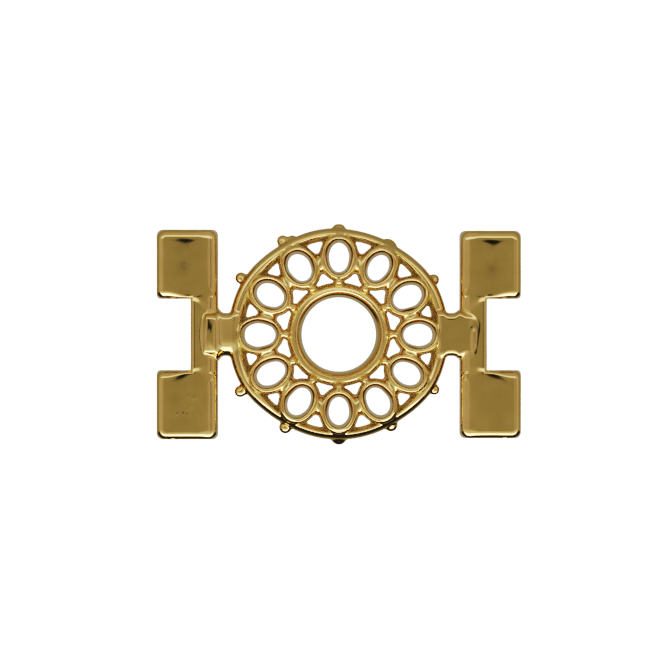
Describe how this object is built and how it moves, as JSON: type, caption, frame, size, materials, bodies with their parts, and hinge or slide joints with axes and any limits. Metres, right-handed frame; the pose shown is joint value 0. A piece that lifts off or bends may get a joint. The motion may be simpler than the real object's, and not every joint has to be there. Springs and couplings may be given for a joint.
{
  "type": "bead connector",
  "caption": "Round openwork connector with a notched bar at each side, for joining rows of square two-hole beads on thread.",
  "frame": {"origin": "on the axis of the middle hole, in the plane of the flat back", "axes": "+X runs from bar to bar, to the right in the picture; +Y runs along the bars, up in the picture; +Z points out of the face, towards the camera"},
  "size_m": [0.0268, 0.0162, 0.0025],
  "materials": {
    "gold_plate": "polished"
  },
  "bodies": {
    "root": {"connector": "gold_plate"}
  },
  "joints": []
}
